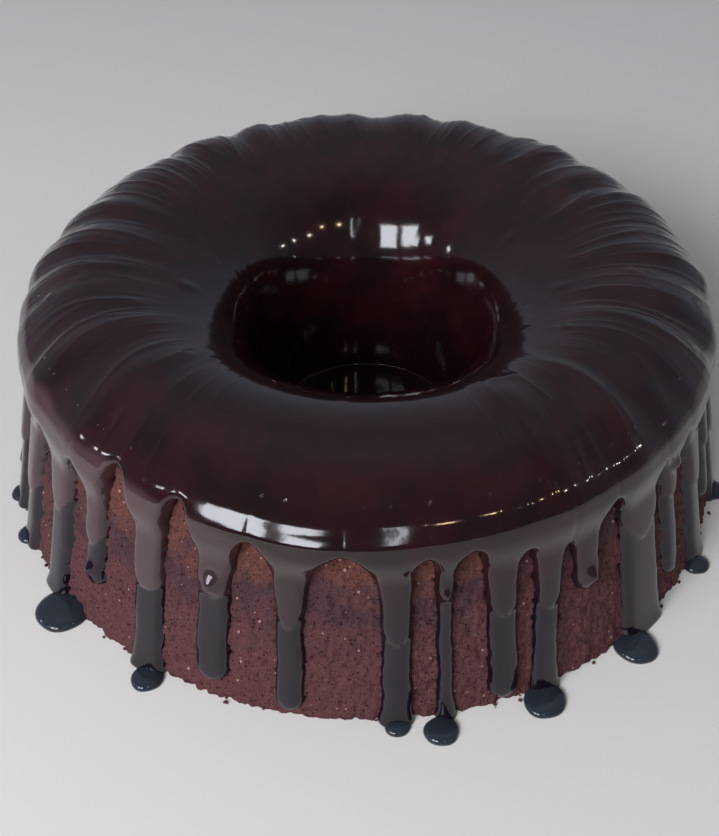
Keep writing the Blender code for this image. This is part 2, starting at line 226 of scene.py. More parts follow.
@dataclass(frozen=True)
class ChocolateCrumb:
    """Baked chocolate sponge where the tin's skin has rubbed off: dry, matt and porous.

    The eye sees a red-brown felt of fine crumbs with black pores under half a
    millimetre across, painted as shade in the holes, a few pale specks painted
    as glints off moist crumbs, an orange-brown rim near the glaze that gives
    way towards the right as painted shade, and a purple-brown belt below it.
    """

    name: str = "chocolate_sponge_crumb"
    foot: str = "#5E383A"
    belt: str = "#4B3137"
    rim: str = "#693F37"
    # pore: black painted as shade in the pores and the felt's hollows
    pore_shade: str = "#140A0C"
    # speck: pale dots painted as glints off moist crumbs
    speck_glint: str = "#A57A76"
    pore_mm: float = 0.95
    speck_mm: float = 1.3
    cloud_mm: float = 12.0
    mottle_mm: float = 0.55
    grain_mm: float = 0.6
    grain_height_mm: float = 0.28
    shaded_x_mm: float = 70.0     # over this distance to the right the rim fades: painted shade of the side away from the light

    def dots(self, tree: bpy.types.NodeTree, place: bpy.types.NodeSocket, size_mm: float,
             common: float) -> bpy.types.NodeSocket:
        """Round dots of uneven size, in some cells of a random pattern.

        Args:
            tree: the material's nodes.
            place: where the pattern is read.
            size_mm: the pattern's cells.
            common: share of the cells that hold a dot.

        Returns:
            1 within a dot and 0 outside.
        """
        cells = add_node(tree, "ShaderNodeTexVoronoi", {
            "Vector": place, "Scale": 1.0 / (size_mm * MM), "Randomness": 1.0})
        chance = add_node(tree, "ShaderNodeSeparateColor", {"Color": cells.outputs["Color"]})
        radius = add_node(tree, "ShaderNodeMapRange", {
            "Value": chance.outputs[0], "From Min": 1.0 - common, "From Max": 1.0,
            "To Min": 0.0, "To Max": 0.42})
        inside = add_node(tree, "ShaderNodeMath", {
            0: radius.outputs["Result"], 1: cells.outputs["Distance"]}, operation="SUBTRACT")
        return add_node(tree, "ShaderNodeMapRange", {
            "Value": inside.outputs[0], "From Min": 0.0, "From Max": 0.10}).outputs["Result"]

    def zones(self, tree: bpy.types.NodeTree,
              place: bpy.types.NodeSocket) -> bpy.types.NodeSocket:
        """Colour by height, wandering up and down with slow noise, with the rim giving way to the belt
        towards the right as painted shade.
        """
        where = add_node(tree, "ShaderNodeSeparateXYZ", {"Vector": place}).outputs
        cloud = add_node(tree, "ShaderNodeTexNoise", {
            "Vector": place, "Scale": 1.0 / (self.cloud_mm * MM), "Detail": 5.0,
            "Roughness": 0.65})
        wander = add_node(tree, "ShaderNodeMapRange", {
            "Value": cloud.outputs["Fac"], "From Min": 0.3, "From Max": 0.7,
            "To Min": -0.13, "To Max": 0.13})
        # Painted shade: towards the right the colours slide down, so the rim gives way to the belt.
        shaded = add_node(tree, "ShaderNodeMapRange", {
            "Value": where["X"], "From Min": 0.0, "From Max": self.shaded_x_mm * MM,
            "To Min": 0.0, "To Max": 0.16})
        drift = add_node(tree, "ShaderNodeMath", {
            0: wander.outputs["Result"], 1: shaded.outputs["Result"]}, operation="SUBTRACT")
        level = add_node(tree, "ShaderNodeMath", {
            0: where["Z"], 1: 1.0 / CAKE_HIGH.z, 2: drift.outputs[0]},
            operation="MULTIPLY_ADD")
        return ramp_stops(add_node(tree, "ShaderNodeValToRGB", {"Fac": level.outputs[0]}), [
            (0.05, linear(self.foot)), (0.30, linear(self.foot)), (0.44, linear(self.belt)),
            (0.52, linear(self.belt)), (0.64, linear(self.rim)), (0.8, linear(self.rim))]
            ).outputs["Color"]

    def build(self) -> bpy.types.Material:
        """The node material."""
        material = bpy.data.materials.new(self.name)
        material.use_nodes = True
        tree = material.node_tree
        shader = tree.nodes["Principled BSDF"]
        place = add_node(tree, "ShaderNodeTexCoord").outputs["Object"]
        felt = add_node(tree, "ShaderNodeTexNoise", {
            "Vector": place, "Scale": 1.0 / (self.mottle_mm * MM), "Detail": 4.0,
            "Roughness": 0.75})
        # Painted shade: the felt's hollows darken towards the pore black.
        depth = add_node(tree, "ShaderNodeMapRange", {
            "Value": felt.outputs["Fac"], "From Min": 0.34, "From Max": 0.62,
            "To Min": 0.62, "To Max": 0.0})
        mottled = add_node(tree, "ShaderNodeMix", {
            0: depth.outputs["Result"], 6: self.zones(tree, place), 7: linear(self.pore_shade)},
            data_type="RGBA")
        # Pores: black painted as shade in the holes, which the bump below also sinks.
        pores = self.dots(tree, place, self.pore_mm, 0.55)
        holed = add_node(tree, "ShaderNodeMix", {
            0: pores, 6: mottled.outputs[2], 7: linear(self.pore_shade)}, data_type="RGBA")
        # Pale specks painted as glints off moist crumbs.
        glint_specked = add_node(tree, "ShaderNodeMix", {
            0: self.dots(tree, place, self.speck_mm, 0.08),
            6: holed.outputs[2], 7: linear(self.speck_glint)}, data_type="RGBA")
        tree.links.new(glint_specked.outputs[2], shader.inputs["Base Color"])
        grain = add_node(tree, "ShaderNodeTexNoise", {
            "Vector": place, "Scale": 1.0 / (self.grain_mm * MM), "Detail": 3.0,
            "Roughness": 0.65})
        bump = add_node(tree, "ShaderNodeBump", {
            "Height": grain.outputs["Fac"], "Strength": 1.0,
            "Distance": self.grain_height_mm * MM})
        sunk = add_node(tree, "ShaderNodeBump", {
            "Height": pores, "Strength": 0.8, "Distance": 0.25 * MM,
            "Normal": bump.outputs["Normal"]}, invert=True)
        tree.links.new(sunk.outputs["Normal"], shader.inputs["Normal"])
        shader.inputs["Roughness"].default_value = 0.85
        shader.inputs["Specular IOR Level"].default_value = 0.3
        return material


@dataclass(frozen=True)
class PaleFloor:
    """Plain matt painted board: an even pale grey."""

    colour: str = "#DEDDDA"

    def build(self) -> bpy.types.Material:
        """The node material."""
        material = bpy.data.materials.new("pale_painted_board")
        material.use_nodes = True
        shader = material.node_tree.nodes["Principled BSDF"]
        shader.inputs["Base Color"].default_value = linear(self.colour)
        shader.inputs["Roughness"].default_value = 0.6
        return material


# ---------------------------------------------------------------------- forms

@dataclass(frozen=True)
class RingForm:
    """Section of the baked ring and of the coat on it: up the side, over the top, down the well."""

    foot_radius: float = 0.5 * (CAKE_HIGH.x - CAKE_LOW.x)
    crown_height: float = 80.3 * MM
    crown_radius: float = 88.0 * MM
    wall_lean: float = math.radians(13.2)
    dome_radius: float = 26.6 * MM
    shoulder_radius: float = 8.0 * MM
    funnel_reach: float = 47.8 * MM
    funnel_drop: float = 55.8 * MM
    mid_side: float = 30.0 * MM
    coat: float = 2.2 * MM
    lip: float = 3.5 * MM            # the coat where it turns down over the shoulder
    lip_radius: float = 13.0 * MM

    @property
    def scale_radius(self) -> float:
        """Radius at which distances round the side are taken."""
        return self.foot_radius - self.mid_side * math.tan(self.wall_lean)

    @property
    def dome_height(self) -> float:
        """Height of the centre that the top is curved about."""
        return self.crown_height - self.dome_radius

    def rounding(self, grow: float, lip: float, radius: float) -> tuple[float, float, float]:
        """The arc that joins the dome to the side.

        Args:
            grow: how far the dome is moved off the crumb.
            lip: how far the side is.
            radius: the arc's radius.

        Returns:
            The tilt where it leaves the dome, and its centre's radius and height.
        """
        span = self.dome_radius + grow - radius
        to_side = (self.foot_radius - self.crown_radius) * math.cos(self.wall_lean)
        to_side -= self.dome_height * math.sin(self.wall_lean)
        tilt = math.asin((to_side + lip - radius) / span) - self.wall_lean
        return (tilt, self.crown_radius + span * math.sin(tilt),
                self.dome_height + span * math.cos(tilt))

    @cached_property
    def table(self) -> np.ndarray:
        """Dense rows: distance, radius, height, outward radius and height, coat."""
        lean = self.wall_lean
        meeting, centre_radius, centre_height = self.rounding(0.0, 0.0, self.shoulder_radius)
        top_of_wall = centre_height + self.shoulder_radius * math.sin(lean)
        rows = []
        for height in np.linspace(0.0, top_of_wall, 60, endpoint=False):
            radius = self.foot_radius - height * math.tan(lean)
            rows.append((radius, height, math.cos(lean), math.sin(lean)))
        for tilt in np.linspace(0.5 * math.pi - lean, meeting, 40, endpoint=False):
            out = (math.sin(tilt), math.cos(tilt))
            rows.append((centre_radius + self.shoulder_radius * out[0],
                         centre_height + self.shoulder_radius * out[1], *out))
        for tilt in np.linspace(meeting, 0.0, 120, endpoint=False):
            out = (math.sin(tilt), math.cos(tilt))
            rows.append((self.crown_radius + self.dome_radius * out[0],
                         self.dome_height + self.dome_radius * out[1], *out))
        funnel_height = self.crown_height - self.funnel_drop
        for turn in np.linspace(0.5 * math.pi, math.pi, 400):
            out = np.array((math.cos(turn) / self.funnel_reach,
                            math.sin(turn) / self.funnel_drop))
            out /= np.linalg.norm(out)
            rows.append((self.crown_radius + self.funnel_reach * math.cos(turn),
                         funnel_height + self.funnel_drop * math.sin(turn), *out))
        rows.append((self.crown_radius - self.funnel_reach, 0.0, -1.0, 0.0))
        table = np.array([(*row, self.coat_at(*row)) for row in rows])
        steps = np.hypot(np.diff(table[:, 0]), np.diff(table[:, 1]))
        return np.column_stack((np.concatenate(([0.0], np.cumsum(steps))), table))

    def coat_at(self, radius: float, height: float, out_radius: float,
                out_height: float) -> float:
        """Thickness of the coat over a point of the section, by halving."""
        if radius <= self.crown_radius:
            return self.coat
        meeting, lip_r, lip_h = self.rounding(self.coat, self.lip, self.lip_radius)
        side = self.foot_radius * math.cos(self.wall_lean) + self.lip
        low, high = 0.0, 2.0 * self.lip
        for _ in range(24):
            off = 0.5 * (low + high)
            r, h = radius + out_radius * off, height + out_height * off
            tilt = math.atan2(r - lip_r, h - lip_h)
            if tilt > 0.5 * math.pi - self.wall_lean or h < lip_h:
                over = r * math.cos(self.wall_lean) + h * math.sin(self.wall_lean) - side
            elif tilt > meeting:
                over = math.hypot(r - lip_r, h - lip_h) - self.lip_radius
            else:
                over = (math.hypot(r - self.crown_radius, h - self.dome_height)
                        - self.dome_radius - self.coat)
            low, high = (off, high) if over < 0.0 else (low, off)
        return 0.5 * (low + high)

    def at(self, along: np.ndarray) -> tuple[np.ndarray, ...]:
        """Section at distances from the foot.

        Args:
            along: distances up the side and on over the top.

        Returns:
            Radius, height, the outward direction's two parts and the coat.
        """
        table = self.table
        radius, height, out_radius, out_height, coat = (
            np.interp(along, table[:, 0], table[:, i]) for i in range(1, 6))
        length = np.hypot(out_radius, out_height)
        return radius, height, out_radius / length, out_height / length, coat

    def point(self, along: float) -> tuple[float, ...]:
        """The section at one distance from the foot, as plain numbers."""
        return tuple(float(value[0]) for value in self.at(np.array([along])))


@dataclass(frozen=True)
class Relief:
    """Folds, crinkles and bumps of the set glaze, and the folds of the crumb under it."""

    form: RingForm
    fold_height: float = 0.6 * MM
    fold_inner: float = 60.0 * MM
    fold_outer: float = 100.0 * MM
    fold_fade_low: float = 48.0 * MM
    fold_waves: tuple = ((23, 1.0, 0.4), (31, 0.7, 2.1), (14, 0.6, 4.0), (47, 0.35, 1.2))
    calm_front: float = math.radians(-10.0)
    calm_width: float = math.radians(34.0)
    crinkle_height: float = 0.34 * MM
    ripple_height: float = 0.012 * MM

    def folds(self, angle: np.ndarray, radius: np.ndarray, height: np.ndarray) -> np.ndarray:
        """How far the radial folds lift the surface off its turned form."""
        wave = sum(size * np.cos(count * angle + shift + 0.5 * np.sin(3 * angle))
                   for count, size, shift in self.fold_waves)
        off_front = (np.remainder(angle - self.calm_front + math.pi, 2 * math.pi)
                     - math.pi) / self.calm_width
        calm = 1.0 - np.exp(-off_front * off_front)
        fade = smooth_step(self.fold_inner, self.fold_outer, radius)
        fade = fade * smooth_step(self.fold_fade_low, self.form.crown_height, height)
        return self.fold_height * wave * calm * fade

    def crinkles(self, angle: np.ndarray, radius: np.ndarray,
                 height: np.ndarray) -> np.ndarray:
        """Sharp uneven ridges of the glaze's skin, strongest on the sides and the back."""
        out = (radius - 85.0 * MM) / (25.0 * MM)
        ridge = np.zeros_like(angle)
        for count, size, shift, lean in ((53, 1.0, 0.3, 1.3), (79, 0.8, 2.2, -1.7),
                                         (37, 1.0, 4.4, 0.8), (117, 0.5, 1.1, 2.3)):
            slow = (1.6 * np.sin(4 * angle + shift) + 0.9 * np.sin(9 * angle + 2 * shift)
                    + 0.5 * np.sin(16 * angle + 3 * shift))
            bend = lean * np.sin(3 * angle + shift) * out + 0.4 * np.sin(3.0 * out + 5 * angle)
            patch = np.clip(0.25 + np.sin(6 * angle + 2.1 * shift + 1.2 * out)
                            + 0.6 * np.sin(11 * angle + shift), 0.0, None)
            sharp = (1.0 - np.abs(np.sin(0.5 * count * angle + slow + bend))) ** 3
            ridge += size * patch * sharp
        off_front = (np.remainder(angle - self.calm_front + math.pi, 2 * math.pi)
                     - math.pi) / self.calm_width
        calm = 1.0 - np.exp(-off_front * off_front)
        fade = smooth_step(64.0 * MM, 86.0 * MM, radius)
        fade = fade * smooth_step(62.0 * MM, 77.0 * MM, height)
        return self.crinkle_height * ridge * calm * fade

    def ripples(self, angle: np.ndarray, radius: np.ndarray) -> np.ndarray:
        """Small waves of the skin where it bends into the well."""
        waves = np.zeros_like(angle)
        for count, pace, shift in ((29, 700.0, 0.4), (47, -500.0, 2.0), (71, 900.0, 3.3),
                                   (17, -900.0, 5.1)):
            slow = 1.5 * np.sin(5 * angle + shift) + np.sin(11 * angle + 2 * shift)
            waves += np.sin(count * angle + slow + pace * radius + shift)
        near = smooth_step(41.0 * MM, 47.0 * MM, radius)
        near = near * (1.0 - smooth_step(58.0 * MM, 74.0 * MM, radius))
        near = near * np.maximum(0.1, np.sin(3 * angle + 0.8) * np.sin(7 * angle + 2.0)) * 1.6
        return self.ripple_height * waves * near

    def bumps(self, angle: np.ndarray, radius: np.ndarray,
              height: np.ndarray) -> np.ndarray:
        """Crumbs and small bubbles caught under the glaze of the top."""
        chance = random.Random(41)
        x, y = radius * np.sin(angle), radius * np.cos(angle)
        lift = np.zeros_like(angle)
        for _ in range(70):
            turn = chance.uniform(-math.pi, math.pi)
            reach = chance.uniform(58.0, 108.0) * MM
            size = chance.uniform(1.0, 2.6) * MM
            rise = chance.uniform(0.12, 0.22) * size
            if abs(math.remainder(turn - self.calm_front, 2 * math.pi)) < math.radians(30):
                rise *= 0.25
            off = ((x - reach * math.sin(turn)) ** 2 + (y - reach * math.cos(turn)) ** 2)
            near = off < (3.0 * size) ** 2
            lift[near] += rise * np.exp(-off[near] / (size * size))
        return lift * smooth_step(50.0 * MM, 60.0 * MM, height)


# ---------------------------------------------------------------------- drips

@dataclass(frozen=True)
class Drip:
    """A run of glaze down the side. Angle in degrees, lengths in millimetres.

    arch is the height of the bare arch on its right, lobe the height where its
    thick upper part ends, roundness 0 for a pointed lobe and 1 for a round one,
    sway how far its foot strays to the right, and bulb the height of a drop
    that has gathered on it.
    """

    angle: float
    width: float
    tip: float
    arch: float
    lobe: float = 30.0
    roundness: float = 0.3
    sway: float = 0.0
    bulb: float = 0.0


@dataclass(frozen=True)
class Pool:
    """A drop of glaze on the floor. Angle in degrees, lengths in millimetres."""

    angle: float
    middle: float
    radius: float
    height: float


@dataclass(frozen=True)
class Runs:
    """All the drips and pools, the front ones set and the back ones seeded."""

    front: tuple[Drip, ...] = (
        Drip(-75.0, 9.0, 0.0, 58.0, 27.0, 0.5),
        Drip(-65.5, 10.0, 0.0, 57.0, 22.0, 0.3),
        Drip(-54.0, 11.0, 0.0, 59.5, 33.0, 0.2),
        Drip(-44.5, 8.0, 17.0, 68.5, 33.0, 0.2, bulb=24.0),
        Drip(-33.3, 10.5, 0.0, 67.5, 31.0, 1.0, sway=0.8),
        Drip(-22.3, 10.5, 6.0, 61.5, 38.0, 1.0, bulb=43.0),
        Drip(-11.0, 8.5, 2.0, 60.8, 32.0, 0.0, sway=0.6),
        Drip(4.0, 9.0, 0.0, 59.0, 28.0, 0.15),
        Drip(10.8, 5.0, 0.0, 59.5, 42.0, 1.0, bulb=45.0),
        Drip(19.2, 9.5, 2.0, 54.0, 33.0, 0.4),
        Drip(26.6, 8.5, 0.0, 50.0, 30.0, 0.2, sway=-2.0),
        Drip(33.2, 8.5, 30.0, 58.0, 30.0, 1.0, bulb=36.0),
        Drip(44.6, 16.5, 0.0, 57.0, 36.0, 0.4),
        Drip(52.8, 7.5, 9.0, 58.0, 40.0, 0.6, bulb=53.0),
        Drip(62.0, 10.0, 0.0, 57.0, 30.0, 0.3),
        Drip(69.5, 6.5, 12.0, 60.0, 34.0, 0.6),
        Drip(76.5, 9.0, 0.0, 58.0, 28.0, 0.3),
        Drip(85.5, 10.0, 15.0, 58.0, 32.0, 0.5),
    )
    back_drips: int = 17
    back_seed: int = 17
    back_widths: tuple[float, float] = (6.0, 11.0)
    back_tips: tuple[float, float] = (6.0, 36.0)
    back_arches: tuple[float, float] = (53.0, 63.0)
    back_wander: float = 0.16
    to_the_floor: float = 0.55
    lobe_seed: int = 5
    back_lobes: tuple[float, float] = (24.0, 42.0)
    front_pools: tuple[Pool, ...] = (
        Pool(-76.0, 126.0, 4.6, 2.6),
        Pool(-66.5, 126.0, 4.8, 2.6),
        Pool(-49.5, 129.8, 8.7, 3.6),
        Pool(-31.5, 130.0, 5.0, 2.8),
        Pool(4.0, 127.8, 4.2, 2.4),
        Pool(9.6, 131.6, 5.2, 2.8),
        Pool(24.4, 130.4, 6.6, 3.0),
        Pool(40.8, 130.0, 7.0, 3.2),
        Pool(60.0, 128.0, 4.6, 2.6),
        Pool(76.8, 127.6, 4.6, 2.6),
    )
    back_pools_from: float = 105.0
    back_pools_to: float = 255.0
    back_pool_radii: tuple[float, float] = (4.2, 6.8)

    def all(self, form: RingForm) -> tuple[list[Drip], list[Pool]]:
        """Every drip and every pool.

        Args:
            form: the baked ring.

        Returns:
            The drips in order round the cake, and the pools.
        """
        chance = random.Random(self.back_seed)
        shape = random.Random(self.lobe_seed)
        first = self.front[-1].angle
        pitch = (self.front[0].angle + 360.0 - first) / (self.back_drips + 1)
        drips = list(self.front)
        pools = list(self.front_pools)
        for index in range(self.back_drips):
            stray = chance.uniform(-self.back_wander, self.back_wander)
            angle = first + pitch * (index + 1 + stray)
            width = chance.uniform(*self.back_widths)
            tip = chance.uniform(*self.back_tips)
            arch = chance.uniform(*self.back_arches)
            radius = chance.uniform(*self.back_pool_radii)
            if chance.random() < self.to_the_floor:
                tip = 0.0
                if self.back_pools_from < angle < self.back_pools_to:
                    middle = form.foot_radius / MM + 0.6 * radius
                    pools.append(Pool(angle, middle, radius, 0.5 * radius))
            lobe = max(shape.uniform(*self.back_lobes), tip)
            bulb = tip + 0.5 * width if shape.random() < 0.5 and tip > 0.0 else 0.0
            drips.append(Drip(angle, width, tip, arch, lobe, shape.random(),
                              shape.uniform(-1.0, 1.0), bulb))
        return drips, pools


class SideSkin:
    """Thickness of the glaze on the side, worked out on a fine unrolled sheet.

    Each drip covers part of the sheet. The liquid's own skin rounds it off,
    which is the solution of thickness - reach^2 * laplacian = cover.
    Positive values stand off the crumb, and negative ones lie buried in it.
    """

    COLUMNS = 2240
    ROW = 0.35                       # millimetres of height
    TOP = 76.3                       # millimetres
    ARCH_RISE = 26.0                 # height over which a bare arch closes
    FILM = 2.3                       # even glaze of a drip
    LOBE = 1.7                       # what its thick upper part adds
    BURIED = 2.2
    FILM_REACH = 1.25
    LOBE_REACH = 1.05
    COAT_FROM = 66.0                 # height where the drips run out of the coat
    COAT_TO = 71.0

    def __init__(self, form: RingForm, drips: list[Drip]) -> None:
        """Lay the drips out on the sheet.

        Args:
            form: the baked ring.
            drips: the drips in order round the cake.
        """
        self.form = form
        self.drips = drips
        self.scale = form.scale_radius / MM * math.radians(1.0)
        self.length = 360.0 * self.scale
        self.cell = self.length / self.COLUMNS
        self.heights = np.arange(0.0, self.TOP, self.ROW)
        self.places = np.arange(self.COLUMNS) * self.cell
        self.thickness, self.lobes = self._solve()

    def _wobble(self, seed: int, wavelength: float, size: float) -> np.ndarray:
        """Slow sideways wander over the heights."""
        chance = random.Random(seed)
        total = np.zeros_like(self.heights)
        for octave in range(3):
            turn = 2.0 * math.pi * self.heights * (octave + 1) / wavelength
            total += np.sin(turn + chance.uniform(0.0, 6.28)) * chance.uniform(0.5, 1.0) / (octave + 1)
        return size * total

    def _edges(self, index: int) -> tuple[np.ndarray, np.ndarray]:
        """Distances of a drip's two sides from its middle line, at each height."""
        drip = self.drips[index]
        edges = []
        for side, other, arch in ((-1, self.drips[index - 1], self.drips[index - 1].arch),
                                  (1, self.drips[(index + 1) % len(self.drips)], drip.arch)):
            pitch = abs(math.remainder(other.angle - drip.angle, 360.0)) * self.scale
            middle = 0.5 * (pitch - 0.5 * other.width + 0.5 * drip.width)
            bare = middle - 0.5 * drip.width
            rise = min(self.ARCH_RISE, 3.6 * bare + 3.0)
            share = np.clip((self.heights - (arch - rise)) / rise, 0.0, 1.0)
            edge = middle - bare * np.sqrt(1.0 - share * share)
            rough = self._wobble(100 * index + side, 19.0, 0.28)
            rough += self._wobble(100 * index + side + 50, 5.5, 0.14)
            edges.append(edge + rough * (share < 1.0))
        return edges[0], edges[1]

    def _cover(self, low: np.ndarray, high: np.ndarray) -> np.ndarray:
        """Share of each cell between two edges that are given at each height."""
        cover = np.zeros((len(self.heights), self.COLUMNS))
        start = int(math.floor(low.min() / self.cell)) - 2
        stop = int(math.ceil(high.max() / self.cell)) + 2
        cells = np.arange(start, stop)
        left = (cells - 0.5) * self.cell
        right = (cells + 0.5) * self.cell
        share = (np.minimum(right[None, :], high[:, None])
                 - np.maximum(left[None, :], low[:, None])) / self.cell
        cover[:, cells % self.COLUMNS] = np.clip(share, 0.0, 1.0)
        return cover

    def _relaxed(self, target: np.ndarray, reach: float) -> np.ndarray:
        """The liquid skin over a target, for a given reach of surface tension."""
        sheet = np.vstack((target, target[::-1]))
        waves = np.fft.rfft2(sheet)
        up = np.fft.fftfreq(sheet.shape[0], self.ROW)[:, None]
        round_ = np.fft.rfftfreq(self.COLUMNS, self.cell)[None, :]
        damping = 1.0 + (2.0 * math.pi * reach) ** 2 * (up * up + round_ * round_)
        return np.fft.irfft2(waves / damping, s=sheet.shape)[:len(self.heights)]

    def _solve(self) -> tuple[np.ndarray, np.ndarray]:
        """Thickness in millimetres and the thick lobes' share over the sheet."""
        heights = self.heights
        film = np.zeros((len(heights), self.COLUMNS))
        lobes = np.zeros_like(film)
        bulbs = np.zeros_like(film)
        foot = np.zeros_like(film)
        for index, drip in enumerate(self.drips):
            left, right = self._edges(index)
            middle = drip.angle * self.scale + drip.sway * (1.0 - smooth_step(4.0, 46.0, heights))
            half = 0.5 * drip.width
            if drip.tip > 0.0:
                drop = np.clip((heights - drip.tip) / (1.1 * half), 0.0, 1.0)
                limit = 1.05 * half * np.sqrt(np.clip(1.0 - (1.0 - drop) ** 2, 0.0, 1.0))
                limit = np.where(drop >= 1.0, 1e3, limit)
                left, right = np.minimum(left, limit), np.minimum(right, limit)
            film = np.maximum(film, self._cover(middle - left, middle + right))
            above = np.clip(heights - drip.lobe, 0.0, None)
            pointed = 0.44 * above + 0.5 * np.sqrt(above)
            rounded = np.sqrt(2.3 * half * above)
            reach = pointed + (rounded - pointed) * drip.roundness
            inner_left, inner_right = np.minimum(left, reach), np.minimum(right, reach)
            lobes = np.maximum(lobes, self._cover(middle - inner_left, middle + inner_right))
            if drip.bulb > 0.0:
                off = np.remainder(self.places - drip.angle * self.scale
                                   + 0.5 * self.length, self.length) - 0.5 * self.length
                far = np.hypot(off[None, :], 0.8 * (heights[:, None] - drip.bulb))
                bulbs += 0.5 * half * np.exp(-(far / (0.5 * half)) ** 2)
            if drip.tip == 0.0:
                flare = 0.9 * np.exp(-heights / 2.0)
                foot = np.maximum(foot, self._cover(middle - left - flare, middle + right + flare))
        low = np.exp(-heights / 1.8)[:, None]
        film = np.maximum(film, foot * (heights[:, None] < 8.0))
        level = smooth_step(46.0, 62.0, heights)[:, None]
        full = (self.FILM * (1.0 - 0.15 * level)) * film - self.BURIED * (1.0 - film)
        skin = self._relaxed(full + 1.2 * low * foot, self.FILM_REACH)
        thick = self._relaxed(self.LOBE * (1.0 - 0.2 * level) * lobes - 1.0 * (1.0 - lobes),
                              self.LOBE_REACH)
        thick = 0.5 * (thick + np.sqrt(thick * thick + 0.02))
        total = skin + np.where(skin > 0.0, 1.0, np.clip(1.0 + skin, 0.0, 1.0)) * thick
        steep = 1.1
        raised = np.clip(total, 0.0, None) / 3.4
        bulged = 3.4 * raised * (1.0 + steep) / (1.0 + steep * raised)
        total = np.where(total > 0.0, bulged + bulbs, total * (1.0 + steep))
        total = np.maximum(total, -self.BURIED)
        blend = smooth_step(self.COAT_FROM, self.COAT_TO, heights)[:, None]
        coat = self.form.at(heights * MM / math.cos(self.form.wall_lean))[4][:, None] / MM
        return total * (1.0 - blend) + coat * blend, lobes

    def sample(self, angle: np.ndarray, height: np.ndarray,
               lobes: bool = False) -> np.ndarray:
        """Thickness at places on the side, between the sheet's own points.

        Args:
            angle: in radians about the axis.
            height: heights in metres, measured as on the straight side.
            lobes: read the lobes' share instead.

        Returns:
            Thickness in metres, or the share.
        """
        column = np.remainder(np.degrees(angle) * self.scale / self.cell, self.COLUMNS)
        row = np.clip(height / MM / self.ROW, 0.0, len(self.heights) - 1.001)
        column_low, row_low = np.floor(column).astype(int), np.floor(row).astype(int)
        across, up = column - column_low, row - row_low
        column_low %= self.COLUMNS
        column_high = (column_low + 1) % self.COLUMNS
        t = self.lobes if lobes else self.thickness * MM
        lower = t[row_low, column_low] * (1 - across) + t[row_low, column_high] * across
        upper = t[row_low + 1, column_low] * (1 - across) + t[row_low + 1, column_high] * across
        return lower * (1 - up) + upper * up


# --------------------------------------------------------------------- meshes

class Shell:
    """Rings of points and the faces between them, gathered into one closed mesh."""

    def __init__(self) -> None:
        """Start with no points."""
        self.points: list[np.ndarray] = []
        self.shares: list[np.ndarray] = []
        self.faces: list[list[int]] = []
        self.marked: list[bool] = []
        self.count = 0

    def ring(self, points: np.ndarray, share: Any = 0.0) -> np.ndarray:
        """Add a closed ring of points.

        Args:
            points: an array of x, y, z rows.
            share: what the finish reads at each of them as "lobe": the share of grey painted as the
                floor's reflection.

        Returns:
            The points' numbers.
        """
        self.points.append(points)
        self.shares.append(np.broadcast_to(share, (len(points),)))
        numbers = np.arange(self.count, self.count + len(points))
        self.count += len(points)
        return numbers

    def _add(self, faces: np.ndarray, marks: np.ndarray | None = None) -> None:
        """Add faces, each marked or not for opening later."""
        self.faces.extend(faces.tolist())
        self.marked.extend([False] * len(faces) if marks is None else marks.tolist())

    def bridge(self, first: np.ndarray, second: np.ndarray,
               marks: np.ndarray | None = None) -> None:
        """Join two rings, where one may have a whole multiple of the other's points.

        Args:
            first: numbers of one ring's points.
            second: numbers of the other's.
            marks: for rings of the same count, which faces are opened later.
        """
        if len(first) == len(second):
            self._add(np.column_stack((first, np.roll(first, -1),
                                       np.roll(second, -1), second)), marks)
            return
        flip = len(first) < len(second)
        fine, coarse = (second, first) if flip else (first, second)
        ratio = len(fine) // len(coarse)
        here, following = coarse, np.roll(coarse, -1)
        steps = [np.roll(fine, -k)[::ratio] for k in range(ratio + 1)]
        half = ratio // 2
        parts = []
        for k in range(ratio):
            corner = here if k < half else following
            parts.append(np.column_stack((steps[k], steps[k + 1], corner)))
        parts.append(np.column_stack((steps[half], following, here)))
        faces = np.vstack(parts)
        self._add(faces[:, ::-1] if flip else faces)

    def cap(self, ring: np.ndarray, centre: tuple[float, float, float]) -> None:
        """Close a ring with a fan of triangles about a point."""
        middle = self.ring(np.array([centre]))
        self._add(np.column_stack((ring, np.roll(ring, -1), np.repeat(middle, len(ring)))))

    def mesh(self, name: str) -> bpy.types.Mesh:
        """The closed mesh: marked faces are opened and each hole gets one plain face.

        Args:
            name: the mesh's name.

        Returns:
            A mesh with outward normals and smooth shading.
        """
        data = bpy.data.meshes.new(name)
        data.from_pydata(np.vstack(self.points).tolist(), [], self.faces)
        lobe = data.attributes.new("lobe", "FLOAT", "POINT")
        lobe.data.foreach_set("value", np.concatenate(self.shares).astype(np.float32))
        shape = bmesh.new()
        shape.from_mesh(data)
        shape.faces.ensure_lookup_table()
        hidden = [face for face, mark in zip(shape.faces, self.marked) if mark]
        if hidden:
            bmesh.ops.delete(shape, geom=hidden, context="FACES")
            rim = [edge for edge in shape.edges if edge.is_boundary]
            bmesh.ops.holes_fill(shape, edges=rim, sides=0)
        open_edges = sum(1 for edge in shape.edges if not edge.is_manifold)
        if open_edges:
            LOG.warning("%s has %d edges that don't join two faces", name, open_edges)
        bmesh.ops.recalc_face_normals(shape, faces=shape.faces)
        shape.to_mesh(data)
        shape.free()
        data.shade_smooth()
        return data


def ring_points(angle: np.ndarray, radius: Any, height: Any) -> np.ndarray:
    """x, y, z rows of points about the axis."""
    radius = np.broadcast_to(radius, angle.shape)
    height = np.broadcast_to(height, angle.shape)
    return np.column_stack((radius * np.sin(angle), -radius * np.cos(angle), height))


